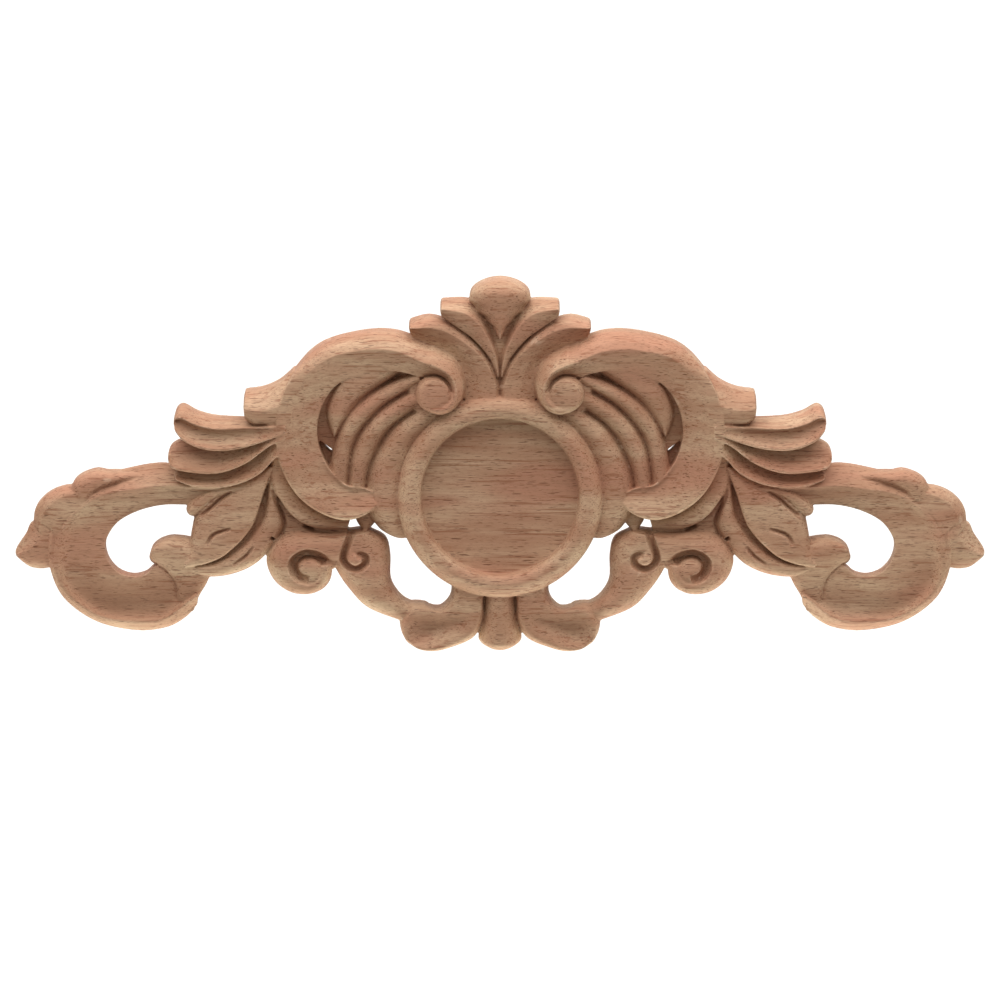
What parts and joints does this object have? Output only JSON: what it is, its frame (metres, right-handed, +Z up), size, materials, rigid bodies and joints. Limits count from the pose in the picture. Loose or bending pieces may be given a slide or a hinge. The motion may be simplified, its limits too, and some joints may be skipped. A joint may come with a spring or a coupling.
{
  "type": "carved corner applique",
  "caption": "Symmetric carved wooden applique with a round medallion, a leaf crest and scrolling side arms, flat at the back for fixing to furniture or a wall.",
  "frame": {"origin": "centre of the medallion, on the flat back", "axes": "+X to the viewer's right along the length, +Z up, +Y out of the back into what it is fixed to; the carving faces -Y"},
  "size_m": [0.3, 0.0178, 0.1164],
  "materials": {
    "rubberwood": "sanded, unfinished"
  },
  "bodies": {
    "root": {"carved_applique": "rubberwood"}
  },
  "joints": []
}
